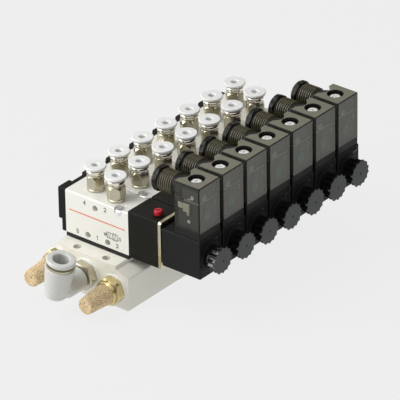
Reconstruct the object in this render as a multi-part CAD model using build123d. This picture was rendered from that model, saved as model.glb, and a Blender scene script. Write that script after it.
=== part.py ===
"""Seven-station pneumatic valve island: 5/2 single-solenoid valves on a common aluminium manifold.

Frame: millimetres, +Z up.  The origin is the centre of the four base mounting holes, in the plane of the
manifold's underside.  +X points to the solenoids, -Y is the supply end (elbow and silencers).
"""
from build123d import *
import os
import math

# ------------------------------------------------------------------ driving dimensions
STATIONS = 7            # valves on the island
PITCH = 23.0            # valve to valve, along Y
VALVE_W = 22.0          # width of one valve
Y_FIRST = -80.0         # supply-end face of the first valve

BASE_HALF_L = 91.6      # manifold, half length along Y
BASE_HALF_W = 33.0      # manifold, half width along X
BASE_H = 28.6           # height of the valve seat above the underside
SEAT_HALF_W = 22.9      # half width of the raised seat
STEP_Z = 26.1           # foot of the small step beside the seat
SHOULDER_Z = 22.5       # outer edge of the sloping shoulder
MOUNT_X = 11.7          # base mounting holes at +-X
MOUNT_Y = 86.6          # base mounting holes at +-Y
MOUNT_R = 2.75
PORT_Z = 14.3           # height at which the station ports reach the galleries
SUPPLY_Z = 16.3         # height of the supply gallery
PORT_HEIGHT = {-22.0: 17.0, 0.0: SUPPLY_Z, 22.0: 12.8}  # gallery heights, stepped across the end face
PORT_SIDE_X = 22.0      # exhaust galleries at +-X, supply gallery at X 0
GALLERY_R = 5.9         # gallery and end thread bore
STATION_PORT_X = (-16.2, -0.5, 15.2)
STATION_PORT_R = 3.25

GASKET_T = 2.3
BODY_X0, BODY_X1 = -26.2, 24.3
BODY_Z0 = BASE_H + GASKET_T
BODY_Z1 = 61.4
AXIS_Z = 46.0           # spool, armature and coil axis
AXIS_Y = 11.0           # the same axis, from the valve's supply-end face
SPOOL_BORE_R = 5.5
SPOOL_LAND_R = 5.2
SPOOL_SEAL_R = 5.45
SPOOL_WAIST_R = 3.6
SPOOL_STROKE = 3.0

CAP_T = 6.1             # spring end cap
CAP_THIN = 3.2
PILOT_X1 = 47.3
PILOT_Z0, PILOT_Z1 = 30.4, 62.9
PLATE_T = 2.5
COIL_X0, COIL_X1 = 50.6, 80.7
COIL_Z0, COIL_Z1 = 33.6, 59.8
CONN_X0, CONN_X1 = 60.6, 80.3
CONN_GASKET_T = 0.8
CONN_BASE_Z1 = 65.2
CONN_Z1 = 96.4
CONN_WALL = 1.6
GLAND_Z = 87.9
GLAND_R = 7.6
GLAND_X = 42.2          # free end of the gland thread
GLAND_NECK_X = 56.6     # the thread's run-out, a smooth neck from here to the housing
GLAND_NUT_X0, GLAND_NUT_X1 = 40.0, 44.9
CABLE_R = 3.5

PORT_A = (-11.2, 11.8)  # X, and Y from the valve's supply-end face
PORT_B = (7.4, 9.2)
FIT_TOP = 78.8          # top of the release ring
RING_R = 7.05
RING_T = 1.9
TUBE_R = 2.1            # way for a 4 mm tube
RING_TRAVEL = 1.0

SCREW_1 = (16.4, 3.0)   # valve hold-down screws
SCREW_2 = (-18.3, 19.0)

BUTTON_X, BUTTON_Y = 42.0, 8.0
BUTTON_R = 2.7
BUTTON_TOP = 66.4
BUTTON_TRAVEL = 1.2

ELBOW_TILT = 11.0       # degrees about Y, towards +X
ELBOW_Y = -121.0        # axis of the upright barrel
ELBOW_TUBE_R = 5.1      # way for a 10 mm tube

EPS = 0.05

# ------------------------------------------------------------------ helpers
def bx(x0, x1, y0, y1, z0, z1):
    return Pos((x0 + x1) / 2, (y0 + y1) / 2, (z0 + z1) / 2) * Box(x1 - x0, y1 - y0, z1 - z0)


def cyx(x0, x1, y, z, r):
    return Pos((x0 + x1) / 2, y, z) * Rot(0, 90, 0) * Cylinder(r, x1 - x0)


def cyy(y0, y1, x, z, r):
    return Pos(x, (y0 + y1) / 2, z) * Rot(90, 0, 0) * Cylinder(r, y1 - y0)


def cyz(z0, z1, x, y, r):
    return Pos(x, y, (z0 + z1) / 2) * Cylinder(r, z1 - z0)


def hex_z(z0, z1, x, y, flats, turn=0.0):
    sk = RegularPolygon(flats / 2, 6, major_radius=False, rotation=turn)
    return Pos(x, y, z0) * extrude(sk, z1 - z0)


def hex_y(y0, y1, x, z, flats, turn=0.0):
    """Hexagonal prism along Y, from y0 up to y1."""
    return Pos(x, y1, z) * Rot(90, 0, 0) * hex_z(0, y1 - y0, 0, 0, flats, turn)


def revolve_z(pts):
    """Solid of revolution about Z from a closed list of (radius, z)."""
    return revolve(Plane.XZ * Polygon(*pts, align=None), Axis.Z)


def edges_along(part, axis, pick=lambda e: True):
    return [e for e in part.edges().filter_by(axis) if pick(e)]


def solids_of(shape):
    return list(shape.solids())


NODES = {}


def node(name, *shapes):
    out = []
    for s in shapes:
        out += solids_of(s)
    NODES[name] = out


def every(fn):
    """One copy of a station's piece for each station."""
    one = fn()
    return [Pos(0, PITCH * k, 0) * one for k in range(STATIONS)]


Y0 = Y_FIRST                 # first station
YC = Y0 + AXIS_Y

# ------------------------------------------------------------------ manifold
profile = Polygon(
    (-BASE_HALF_W, 0), (BASE_HALF_W, 0), (BASE_HALF_W, SHOULDER_Z), (24.2, STEP_Z), (23.4, STEP_Z),
    (SEAT_HALF_W, BASE_H), (-SEAT_HALF_W, BASE_H), (-23.4, STEP_Z), (-24.2, STEP_Z), (-BASE_HALF_W, SHOULDER_Z),
    align=None,
)
base = Pos(0, BASE_HALF_L, 0) * extrude(Plane.XZ * profile, 2 * BASE_HALF_L)
base = fillet(edges_along(base, Axis.Y, lambda e: abs(abs(e.center().X) - BASE_HALF_W) < 0.1 and e.center().Z > 20), 1.2)
base = fillet(edges_along(base, Axis.Y, lambda e: abs(abs(e.center().X) - BASE_HALF_W) < 0.1 and e.center().Z < 1), 0.6)
base = fillet(edges_along(base, Axis.Y, lambda e: abs(e.center().Z - BASE_H) < 0.1), 0.5)
cuts = []
for gx in (-PORT_SIDE_X, 0.0, PORT_SIDE_X):
    cuts.append(cyy(-BASE_HALF_L - 1, BASE_HALF_L + 1, gx, PORT_HEIGHT[gx], GALLERY_R))
for sx in (-1, 1):
    for sy in (-1, 1):
        cuts.append(cyz(-1, BASE_H + 1, sx * MOUNT_X, sy * MOUNT_Y, MOUNT_R))
for k in range(STATIONS):
    yk = YC + PITCH * k
    for px in STATION_PORT_X:
        cuts.append(cyz(PORT_Z, BASE_H + 1, px, yk, STATION_PORT_R))
    for (sx, sy) in (SCREW_1, SCREW_2):
        cuts.append(cyz(BASE_H - 8.0, BASE_H + 1, sx, Y0 + PITCH * k + sy, 2.05))
base = base - cuts
node("manifold_base", base)


def gasket():
    g = bx(BODY_X0 + 0.1, BODY_X1 - 0.1, Y0, Y0 + VALVE_W, BASE_H, BODY_Z0)
    holes = [cyz(BASE_H - 1, BODY_Z0 + 1, px, YC, STATION_PORT_R) for px in STATION_PORT_X]
    holes += [cyz(BASE_H - 1, BODY_Z0 + 1, sx, Y0 + sy, 2.2) for (sx, sy) in (SCREW_1, SCREW_2)]
    return g - holes


node("station_gaskets", *every(gasket))

# ------------------------------------------------------------------ valve body
CAP_SCREWS = ((5.0, 35.4), (16.8, 56.2))      # Y from the valve face, Z
PILOT_SCREWS = ((3.6, 35.0), (18.4, 58.6))


def valve_body():
    b = bx(BODY_X0, BODY_X1, Y0, Y0 + VALVE_W, BODY_Z0, BODY_Z1)
    b = fillet(edges_along(b, Axis.X), 1.1)
    c = [cyx(BODY_X0 - 1, BODY_X1 + 1, YC, AXIS_Z, SPOOL_BORE_R)]
    c += [cyz(BODY_Z0 - 1, AXIS_Z, px, YC, STATION_PORT_R) for px in STATION_PORT_X]
    for (px, py) in (PORT_A, PORT_B):
        c.append(cyz(BODY_Z1 - 7.5, BODY_Z1 + 1, px, Y0 + py, 4.7))
        c.append(cyz(AXIS_Z, BODY_Z1, px, Y0 + py, 2.4))
    for (sx, sy) in (SCREW_1, SCREW_2):
        c.append(cyz(BODY_Z0 - 1, BODY_Z1 + 1, sx, Y0 + sy, 2.2))
        c.append(cyz(BODY_Z1 - 3.4, BODY_Z1 + 1, sx, Y0 + sy, 4.1))
    for (hx, hz) in ((-8.6, 34.8), (7.3, 34.8), (-2.2, 55.6)):
        c.append(cyy(Y0 - 1, Y0 + VALVE_W + 1, hx, hz, 2.15))
    for (sy, sz) in CAP_SCREWS:
        c.append(cyx(BODY_X0 - 1, BODY_X0 + 4.9, Y0 + sy, sz, 1.5))
    for (sy, sz) in PILOT_SCREWS:
        c.append(cyx(BODY_X1 - 5.1, BODY_X1 + 1, Y0 + sy, sz, 1.5))
    return b - c


node("valve_bodies", *every(valve_body))


def pan_head_z(x, y, z_seat, r_head, h_head, r_shank, length):
    """Cross-recess pan-head screw, head up, seat at z_seat."""
    head = cyz(z_seat, z_seat + h_head, x, y, r_head)
    head = fillet(head.edges().group_by(Axis.Z)[-1], 0.45 * h_head)
    s = head + cyz(z_seat - length, z_seat, x, y, r_shank)
    a, b = 0.36, r_head * 0.58
    rec = bx(x - b, x + b, y - a, y + a, z_seat + h_head * 0.35, z_seat + h_head + 1)
    rec += bx(x - a, x + a, y - b, y + b, z_seat + h_head * 0.35, z_seat + h_head + 1)
    return s - Rot(0, 0, 0) * rec


def hold_down(sx, sy):
    return pan_head_z(sx, Y0 + sy, BODY_Z1 - 3.4, 3.8, 2.7, 1.95, BODY_Z1 - 3.4 - BASE_H + 7.0)


node("valve_screws", *every(lambda: hold_down(*SCREW_1)), *every(lambda: hold_down(*SCREW_2)))

# ------------------------------------------------------------------ spring end
def end_cap():
    x0, x1 = BODY_X0 - CAP_T, BODY_X0
    c = bx(x0, x1, Y0, Y0 + VALVE_W, BODY_Z0, BODY_Z1)
    c = fillet(edges_along(c, Axis.X), 1.0)
    c -= bx(x0 - 1, x1 - CAP_THIN, Y0 - 1, Y0 + 11.5, BODY_Z0 - 1, BODY_Z0 + 8.6)
    c -= bx(x0 - 1, x1 - CAP_THIN, Y0 + 10.5, Y0 + VALVE_W + 1, BODY_Z1 - 8.6, BODY_Z1 + 1)
    c = fillet(c.faces().sort_by(Axis.X)[0].edges(), 0.6)
    c -= cyx(x1 - 4.6, x1 + 1, YC, AXIS_Z, 5.0)
    for (sy, sz) in CAP_SCREWS:
        c -= cyx(x0 - 1, x1 + 1, Y0 + sy, sz, 1.6)
    return c


node("spring_end_caps", *every(end_cap))


def side_screw(x_seat, y, z, r_head, h_head, r_shank, length, facing):
    """Cross-recess screw along X; facing -1 has its head to -X, +1 to +X."""
    s = pan_head_z(0, 0, 0, r_head, h_head, r_shank, length)
    return Pos(x_seat, y, z) * Rot(0, 90 * facing, 0) * s


cap_screws = [
    *every(lambda: side_screw(BODY_X0 - CAP_THIN, Y0 + CAP_SCREWS[0][0], CAP_SCREWS[0][1], 2.7, 2.0, 1.4, 7.6, -1)),
    *every(lambda: side_screw(BODY_X0 - CAP_THIN, Y0 + CAP_SCREWS[1][0], CAP_SCREWS[1][1], 2.7, 2.0, 1.4, 7.6, -1)),
]


def coil_spring(x0, x1, y, z, r_mean, wire_r, turns):
    """Compression spring along X, between x0 and x1, ends included."""
    length = x1 - x0 - 2 * wire_r
    path = Helix(pitch=length / turns, height=length, radius=r_mean)
    s = sweep(Plane(origin=path @ 0, z_dir=path % 0) * Circle(wire_r), path=path, is_frenet=True)
    return Pos(x0 + wire_r, y, z) * Rot(0, 90, 0) * s


SPRING_X0, SPRING_X1 = BODY_X0 - 4.6, -18.1
return_springs = every(lambda: coil_spring(SPRING_X0, SPRING_X1, YC, AXIS_Z, 2.05, 0.4, 5))

# ------------------------------------------------------------------ spool, seals and piston
SPOOL_X0, SPOOL_X1 = -23.0, 27.6
LANDS = ((-23.0, -20.2), (-14.8, -12.6), (-7.2, -5.0), (2.4, 4.6), (10.6, 12.6), (20.2, 23.0))
PISTON_R, PISTON_T = 7.35, 4.6


def spool():
    s = cyx(SPOOL_X0, SPOOL_X1, YC, AXIS_Z, SPOOL_WAIST_R)
    for a, b in LANDS:
        s += cyx(a, b, YC, AXIS_Z, SPOOL_LAND_R)
    for a, b in LANDS:
        m = (a + b) / 2
        s -= cyx(m - 0.6, m + 0.6, YC, AXIS_Z, SPOOL_LAND_R + 1) - cyx(m - 1, m + 1, YC, AXIS_Z, 4.3)
    return s - cyx(SPOOL_X0 - 1, -15.0, YC, AXIS_Z, 2.7)


def spool_seals():
    out = []
    for a, b in LANDS:
        m = (a + b) / 2
        out.append(cyx(m - 0.6, m + 0.6, YC, AXIS_Z, SPOOL_SEAL_R) - cyx(m - 1, m + 1, YC, AXIS_Z, 4.3))
    return out


def piston():
    p = cyx(SPOOL_X1, SPOOL_X1 + PISTON_T, YC, AXIS_Z, PISTON_R)
    m = SPOOL_X1 + PISTON_T / 2
    return p - (cyx(m - 0.8, m + 0.8, YC, AXIS_Z, PISTON_R + 1) - cyx(m - 1, m + 1, YC, AXIS_Z, 6.0))


def piston_seal():
    m = SPOOL_X1 + PISTON_T / 2
    return cyx(m - 0.8, m + 0.8, YC, AXIS_Z, 7.45) - cyx(m - 1, m + 1, YC, AXIS_Z, 6.0)


one_spool = [spool(), piston()] + spool_seals() + [piston_seal()]
for k in range(STATIONS):
    node(f"spool_{k + 1}", *[Pos(0, PITCH * k, 0) * s for s in one_spool])

# ------------------------------------------------------------------ pilot block
TUBE_R_OUT = 4.5


def pilot_block():
    b = bx(BODY_X1, PILOT_X1, Y0, Y0 + VALVE_W, PILOT_Z0, PILOT_Z1)
    b = fillet(edges_along(b, Axis.X), 0.7)
    b += cyz(PILOT_Z1 - 0.5, PILOT_Z1 + 0.7, BUTTON_X, Y0 + BUTTON_Y, 3.9)
    b -= cyx(BODY_X1 - 1, 32.8, YC, AXIS_Z, 7.5)
    b -= cyx(45.2, PILOT_X1 + 1, YC, AXIS_Z, 7.1)
    b -= cyx(32.0, PILOT_X1, YC, AXIS_Z, 1.0)
    b -= cyz(61.4, PILOT_Z1 + 2, BUTTON_X, Y0 + BUTTON_Y, BUTTON_R + 0.08)
    b -= cyz(50.4, PILOT_Z1, BUTTON_X, Y0 + BUTTON_Y, 1.85)
    for (sy, sz) in PILOT_SCREWS:
        b -= cyx(BODY_X1 - 1, PILOT_X1 + 1, Y0 + sy, sz, 1.6)
        b -= cyx(PILOT_X1 - 3.0, PILOT_X1 + 1, Y0 + sy, sz, 2.8)
    return b


node("pilot_blocks", *every(pilot_block))
node(
    "end_screws",
    *cap_screws,
    *every(lambda: side_screw(PILOT_X1 - 3.0, Y0 + PILOT_SCREWS[0][0], PILOT_SCREWS[0][1], 2.6, 2.2, 1.4, 24.8, 1)),
    *every(lambda: side_screw(PILOT_X1 - 3.0, Y0 + PILOT_SCREWS[1][0], PILOT_SCREWS[1][1], 2.6, 2.2, 1.4, 24.8, 1)),
)


def button():
    x, y = BUTTON_X, Y0 + BUTTON_Y
    head = cyz(62.8, BUTTON_TOP, x, y, BUTTON_R)
    head = fillet(head.edges().group_by(Axis.Z)[-1], 0.35)
    b = head + cyz(52.0, 62.8, x, y, 1.8)
    slot = Pos(x, y, 0) * Rot(0, 0, 38) * bx(-4, 4, -0.45, 0.45, BUTTON_TOP - 1.3, BUTTON_TOP + 1)
    return b - slot


for k in range(STATIONS):
    node(f"override_button_{k + 1}", Pos(0, PITCH * k, 0) * button())

# ------------------------------------------------------------------ solenoid
def pole_plate():
    p = bx(PILOT_X1, PILOT_X1 + PLATE_T, Y0 + 0.4, Y0 + 21.6, PILOT_Z0, PILOT_Z1 - 0.2)
    p = fillet(edges_along(p, Axis.X, lambda e: e.center().Z > 60), 1.6)
    return p - cyx(PILOT_X1 - 1, PILOT_X1 + 4, YC, AXIS_Z, TUBE_R_OUT + 0.1)


node("pole_plates", *every(pole_plate))


def armature_tube():
    t = cyx(45.3, PILOT_X1, YC, AXIS_Z, 7.0) + cyx(45.3, 82.6, YC, AXIS_Z, TUBE_R_OUT) + cyx(82.6, 88.4, YC, AXIS_Z, 4.0)
    return t - cyx(45.3 - 1, 72.0, YC, AXIS_Z, 3.9)


node("armature_tubes", *every(armature_tube))


def armature():
    a = cyx(45.9, 62.0, YC, AXIS_Z, 3.8)
    return a - cyx(57.0, 63.0, YC, AXIS_Z, 2.5)


node("armatures", *every(armature))
node("valve_springs", *return_springs, *every(lambda: coil_spring(57.0, 72.0, YC, AXIS_Z, 1.9, 0.35, 6)))


def coil():
    c = bx(COIL_X0, COIL_X1, Y0 + 0.2, Y0 + 21.8, COIL_Z0, COIL_Z1)
    c = fillet(edges_along(c, Axis.X), 1.0)
    c += cyx(PILOT_X1 + PLATE_T, COIL_X0 + 0.5, YC, AXIS_Z, 8.5)
    c += cyx(COIL_X1 - 0.5, 81.6, YC, AXIS_Z, 9.4)
    c -= cyx(COIL_X0 - 3, COIL_X1 + 3, YC, AXIS_Z, TUBE_R_OUT + 0.1)
    c -= cyz(53.6, COIL_Z1 + 1, CONN_XC, YC, 1.6)
    for s in blade_boxes(0.06):
        c -= s
    return c


CONN_XC = 70.3


def blade_boxes(grow=0.0):
    g = grow
    z0, z1 = 57.6 - g, 69.5
    return [
        bx(63.4 - g, 64.2 + g, YC - 3.15 - g, YC + 3.15 + g, z0, z1),
        bx(76.4 - g, 77.2 + g, YC - 3.15 - g, YC + 3.15 + g, z0, z1),
        bx(CONN_XC - 3.15 - g, CONN_XC + 3.15 + g, YC + 5.6 - g, YC + 6.4 + g, z0, z1),
    ]


node("solenoid_coils", *every(coil))
node("terminal_blades", *every(lambda: blade_boxes()[0]), *every(lambda: blade_boxes()[1]), *every(lambda: blade_boxes()[2]))


def coil_nut():
    n = cyx(84.2, 90.4, YC, AXIS_Z, 8.9)
    n -= [
        Pos(87, YC, AXIS_Z) * Rot(360 / 14 * i, 0, 0) * Pos(0, 9.5, 0) * Rot(0, 90, 0) * Cylinder(1.15, 10)
        for i in range(14)
    ]
    n += cyx(81.6, 84.2, YC, AXIS_Z, 7.4)
    n -= cyx(81.6 - 1, 82.8, YC, AXIS_Z, TUBE_R_OUT + 0.1)
    n -= cyx(82.0, 88.8, YC, AXIS_Z, 4.1)
    return n - cyx(88.0, 91.0, YC, AXIS_Z, 0.6)


node("coil_nuts", *every(coil_nut))

# ------------------------------------------------------------------ connector
CY0, CY1 = Y0 + 0.9, Y0 + 21.3


def conn_gasket():
    g = bx(CONN_X0 + 0.3, CONN_X1 - 0.3, CY0 + 0.3, CY1 - 0.3, COIL_Z1, COIL_Z1 + CONN_GASKET_T)
    g -= cyz(COIL_Z1 - 1, COIL_Z1 + 3, CONN_XC, YC, 1.7)
    for s in blade_boxes(0.06):
        g -= s
    return g


node("connector_gaskets", *every(conn_gasket))


def conn_base():
    b = bx(CONN_X0, CONN_X1, CY0, CY1, COIL_Z1 + CONN_GASKET_T, CONN_BASE_Z1)
    b = fillet(edges_along(b, Axis.Z), 0.8)
    b -= cyz(COIL_Z1 - 1, 80, CONN_XC, YC, 1.7)
    for s in blade_boxes(0.06):
        b -= s
    return b


node("connector_bases", *every(conn_base))


def conn_housing():
    h = bx(CONN_X0, CONN_X1, CY0, CY1, CONN_BASE_Z1, CONN_Z1)
    h = fillet(edges_along(h, Axis.Z), 0.6)
    w = CONN_WALL
    h -= bx(CONN_X0 + w, CONN_X1 - w, CY0 + w, CY1 - w, CONN_BASE_Z1 - 1, CONN_Z1 - 2.2)
    # scoop in the top edge, round the neck of the gland thread
    cone = Pos(CONN_X0 + 2.0, YC, GLAND_Z) * Rot(0, 90, 0) * Cone(10.4, 8.4, 4.0)
    h -= cone & bx(CONN_X0 - 1, CONN_X0 + 5.6, CY0 - 1, CY1 + 1, GLAND_Z + 4.5, 100)
    h += cyx(CONN_X0, CONN_X0 + 5.6, YC, GLAND_Z, GLAND_R - 0.5)
    h += cyz(86.0, CONN_Z1, CONN_XC + 0.6, YC, 6.4) & bx(CONN_X0 + 5.6, CONN_X1, CY0, CY1, 80, CONN_Z1)
    h += cyz(CONN_BASE_Z1, 88.0, CONN_XC, YC, 2.9)
    h -= cyx(CONN_X0 - 1, CONN_X0 + 4.0, YC, GLAND_Z, 5.4) - cyz(60, 100, CONN_XC, YC, 6.0)
    h -= cyz(89.9, CONN_Z1 + 1, CONN_XC, YC, 5.0)
    h -= cyz(CONN_BASE_Z1 - 1, CONN_Z1, CONN_XC, YC, 1.7)
    return h


def gland_thread():
    """The gland's threaded tube. It is moulded with the housing, and is a solid of its own so that the space under it stays open."""
    t = cyx(GLAND_X, GLAND_NUT_X1 + 0.6, YC, GLAND_Z, 6.4) + cyx(GLAND_NUT_X1 + 0.5, GLAND_NECK_X, YC, GLAND_Z, GLAND_R)
    t += cyx(GLAND_NECK_X, CONN_X0, YC, GLAND_Z, GLAND_R - 0.5)
    return t - cyx(GLAND_X - 1, CONN_X0 + 1, YC, GLAND_Z, 5.4)


node("connector_housings", *every(conn_housing), *every(gland_thread))
node("connector_screws", *every(lambda: pan_head_z(CONN_XC, YC, 89.9, 3.2, 2.4, 1.45, 35.4)))


def conn_board():
    """L-shaped board: a shelf above the middle and a leg down the supply-end wall."""
    z = 84.0
    b = bx(CONN_X0 + 6.4, CONN_X1 - 1.8, CY0 + 1.8, CY1 - 1.8, z, z + 1.0)
    b -= cyz(z - 1, z + 3, CONN_XC, YC, 3.1)
    return b + bx(CONN_X0 + 6.4, CONN_X1 - 3.0, CY0 + 2.0, CY0 + 3.0, 69.8, z)


node("connector_boards", *every(conn_board))


def gland_nut():
    """Hexagon with rounded corners, chamfered at its free end, on the spigot before the thread."""
    n = Pos(GLAND_NUT_X0, YC, GLAND_Z) * Rot(0, 90, 0) * hex_z(0, GLAND_NUT_X1 - GLAND_NUT_X0, 0, 0, 15.8, 20)
    n = n & cyx(GLAND_NUT_X0, GLAND_NUT_X1, YC, GLAND_Z, 8.5)
    n = n & (Pos(GLAND_NUT_X0 + 2.0, YC, GLAND_Z) * Rot(0, 90, 0) * Cone(7.0, 11.0, 4.0) + cyx(GLAND_NUT_X0 + 3.9, GLAND_NUT_X1, YC, GLAND_Z, 11.0))
    n -= cyx(GLAND_NUT_X0 + 1.8, GLAND_NUT_X1 + 1, YC, GLAND_Z, 6.5)
    return n - cyx(GLAND_NUT_X0 - 1, GLAND_NUT_X0 + 3, YC, GLAND_Z, CABLE_R)


node("gland_nuts", *every(gland_nut))
node(
    "gland_seals",
    *every(lambda: cyx(GLAND_NUT_X0 + 1.8, 46.0, YC, GLAND_Z, 5.3) - cyx(30, 50, YC, GLAND_Z, CABLE_R)),
)

# ------------------------------------------------------------------ push-in fittings
HEX_Z0, HEX_Z1 = 63.4, 71.9
NECK_Z = 75.8


def fitting(px, py):
    x, y = px, Y0 + py
    f = cyz(BODY_Z1 - 7.0, BODY_Z1, x, y, 4.5) + cyz(BODY_Z1, HEX_Z0, x, y, 5.6)
    f += hex_z(HEX_Z0, HEX_Z1, x, y, 10.8, 12) & cyz(HEX_Z0, HEX_Z1, x, y, 6.05)
    f += cyz(HEX_Z1, NECK_Z, x, y, 5.75)
    f -= cyz(66.0, NECK_Z + 1, x, y, 3.45)
    f -= cyz(63.6, 66.0, x, y, TUBE_R + 0.05)
    f -= cyz(BODY_Z1 - 8, 63.6, x, y, 1.5)
    return f


node("fitting_bodies", *every(lambda: fitting(*PORT_A)), *every(lambda: fitting(*PORT_B)))


def ring_washer(px, py, z0, z1, r1, r0):
    return cyz(z0, z1, px, Y0 + py, r1) - cyz(z0 - 1, z1 + 1, px, Y0 + py, r0)


node(
    "fitting_seals_and_grips",
    *every(lambda: ring_washer(*PORT_A, 66.0, 67.4, 3.45, TUBE_R + 0.1)),
    *every(lambda: ring_washer(*PORT_B, 66.0, 67.4, 3.45, TUBE_R + 0.1)),
    *every(lambda: ring_washer(*PORT_A, 67.4, 68.2, 3.45, TUBE_R + 0.1)),
    *every(lambda: ring_washer(*PORT_B, 67.4, 68.2, 3.45, TUBE_R + 0.1)),
)


def release_ring(px, py):
    x, y = px, Y0 + py
    top = FIT_TOP
    r = revolve_z([
        (TUBE_R + 0.35, top), (RING_R - 0.6, top), (RING_R, top - 0.6), (RING_R, top - RING_T + 0.4),
        (RING_R - 0.4, top - RING_T), (3.38, top - RING_T), (3.38, 69.6), (TUBE_R, 69.6), (TUBE_R, top - 0.35),
    ])
    return Pos(x, y, 0) * r


for nm, port in (("a", PORT_A), ("b", PORT_B)):
    one = release_ring(*port)
    for k in range(STATIONS):
        node(f"release_ring_{nm}{k + 1}", Pos(0, PITCH * k, 0) * one)

# ------------------------------------------------------------------ supply elbow
YE = -BASE_HALF_L
stem = cyy(YE, YE + 8.0, 0, SUPPLY_Z, 5.7) + cyy(YE - 1.4, YE, 0, SUPPLY_Z, 5.7)
stem += hex_y(YE - 7.2, YE - 1.4, 0, SUPPLY_Z, 17.0, 54) & cyy(YE - 7.2, YE - 1.4, 0, SUPPLY_Z, 9.4)
stem += cyy(YE - 19.0, YE - 7.2, 0, SUPPLY_Z, 5.0)
stem -= cyy(YE - 20.0, YE + 9, 0, SUPPLY_Z, 3.2)
node("elbow_stem", stem)

# built upright about the stem's axis at Z = 0, then tilted and lifted
ARM_R = 7.9
arm = cyy(ELBOW_Y + 4.9, YE - 7.5, 0, 0, ARM_R)
arm = fillet(arm.edges().group_by(Axis.Y)[0], 3.0)
arm = fillet(arm.edges().group_by(Axis.Y)[-1], 2.4)
barrel = revolve_z([(0, -4.2), (7.35, -4.2), (7.35, 1.8), (7.85, 2.3), (9.6, 19.8), (0, 19.8)])
barrel = Pos(0, ELBOW_Y, 0) * fillet(barrel.edges().group_by(Axis.Z)[0], 4.2)
elbow = arm + barrel
elbow -= cyy(YE - 19.4, YE - 7.0, 0, 0, 5.05)
elbow -= cyy(ELBOW_Y, YE - 19.0, 0, 0, 2.6)
elbow -= cyz(-1.0, 5.0, 0, ELBOW_Y, 3.4)
elbow -= cyz(3.4, 21, 0, ELBOW_Y, 6.9)
elbow_collar = cyz(18.0, 21.4, 0, ELBOW_Y, 8.9) - cyz(17, 22, 0, ELBOW_Y, 6.6)
elbow -= cyz(18.0, 21, 0, ELBOW_Y, 8.9)
elbow_seal = cyz(3.4, 6.0, 0, ELBOW_Y, 6.9) - cyz(0, 50, 0, ELBOW_Y, ELBOW_TUBE_R + 0.1)
elbow_grip = cyz(6.0, 7.2, 0, ELBOW_Y, 6.9) - cyz(0, 50, 0, ELBOW_Y, ELBOW_TUBE_R + 0.1)
ET = 25.6
elbow_ring = Pos(0, ELBOW_Y, 0) * revolve_z([
    (ELBOW_TUBE_R + 0.6, ET), (8.6, ET), (9.45, ET - 0.9), (9.45, ET - 2.0), (9.1, ET - 2.6), (6.5, ET - 2.6),
    (6.5, 9.0), (ELBOW_TUBE_R, 9.0), (ELBOW_TUBE_R, ET - 0.6),
])
TILT = Pos(0, 0, SUPPLY_Z) * Rot(0, ELBOW_TILT, 0)
node("elbow_body", TILT * elbow)
node("elbow_collar_and_grip", TILT * elbow_collar, TILT * elbow_grip)
node("elbow_tube_seal", TILT * elbow_seal)
node("elbow_release_ring", TILT * elbow_ring)

# ------------------------------------------------------------------ silencers
def silencer_body(x):
    z = PORT_HEIGHT[x]
    b = cyy(YE - 1.4, YE + 8.0, x, z, 5.7)
    b += hex_y(YE - 7.0, YE - 1.4, x, z, 17.0, 49) & cyy(YE - 7.0, YE - 1.4, x, z, 9.5)
    b += cyy(YE - 9.6, YE - 7.0, x, z, 7.9)
    return b - cyy(YE - 11, YE + 9, x, z, 4.0) - cyy(YE - 11, YE - 5.0, x, z, 6.5)


def silencer_element(x):
    pts = [(4.0, 0.0), (6.4, 0.0), (6.4, 4.6), (6.85, 4.6), (5.45, 22.9), (4.6, 23.7), (0, 23.7), (0, 20.5), (2.6, 20.5)]
    return Pos(x, YE - 5.0, PORT_HEIGHT[x]) * Rot(90, 0, 0) * revolve_z(pts)


node("silencer_bodies", silencer_body(-PORT_SIDE_X), silencer_body(PORT_SIDE_X))
node("silencer_elements", silencer_element(-PORT_SIDE_X), silencer_element(PORT_SIDE_X))
node(
    "port_washers",
    *[
        cyy(YE - 1.4, YE, x, z, 9.6) - cyy(YE - 2, YE + 1, x, z, 5.7)
        for x, z in PORT_HEIGHT.items()
    ],
)


def end_plug(x):
    z = PORT_HEIGHT[x]
    p = cyy(BASE_HALF_L - 8.0, BASE_HALF_L, x, z, 5.7) + cyy(BASE_HALF_L, BASE_HALF_L + 1.6, x, z, 7.6)
    sock = Pos(x, BASE_HALF_L - 4.0, z) * Rot(-90, 0, 0) * hex_z(0, 8, 0, 0, 6.0)
    return p - sock


node("end_plugs", *[end_plug(x) for x in (-PORT_SIDE_X, 0.0, PORT_SIDE_X)])

# ------------------------------------------------------------------ export
os.makedirs("parts", exist_ok=True)
for name, solids in NODES.items():
    shape = solids[0] if len(solids) == 1 else Compound(children=solids)
    export_step(shape, f"parts/{name}.step")
print(len(NODES), "nodes,", sum(len(s) for s in NODES.values()), "solids")
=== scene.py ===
"""Looks for the seven-station pneumatic valve island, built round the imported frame."""
import math

import bpy
import bmesh
import numpy as np
from mathutils import Matrix, Vector, noise


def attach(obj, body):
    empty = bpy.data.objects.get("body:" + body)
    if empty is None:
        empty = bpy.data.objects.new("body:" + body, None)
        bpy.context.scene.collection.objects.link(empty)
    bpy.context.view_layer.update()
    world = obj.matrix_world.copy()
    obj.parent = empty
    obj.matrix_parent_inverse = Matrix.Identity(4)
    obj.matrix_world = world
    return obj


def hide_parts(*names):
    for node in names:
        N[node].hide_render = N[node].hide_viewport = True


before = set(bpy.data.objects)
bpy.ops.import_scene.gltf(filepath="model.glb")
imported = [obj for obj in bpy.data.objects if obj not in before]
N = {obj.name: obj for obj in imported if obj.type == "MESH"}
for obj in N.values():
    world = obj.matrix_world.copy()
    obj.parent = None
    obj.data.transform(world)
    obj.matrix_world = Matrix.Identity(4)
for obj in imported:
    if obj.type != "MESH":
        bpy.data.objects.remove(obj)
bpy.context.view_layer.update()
MM = 0.001
COLL = bpy.context.scene.collection
STATIONS = 7
PITCH = 23.0
Y0 = -80.0
YC = Y0 + 11.0
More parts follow.
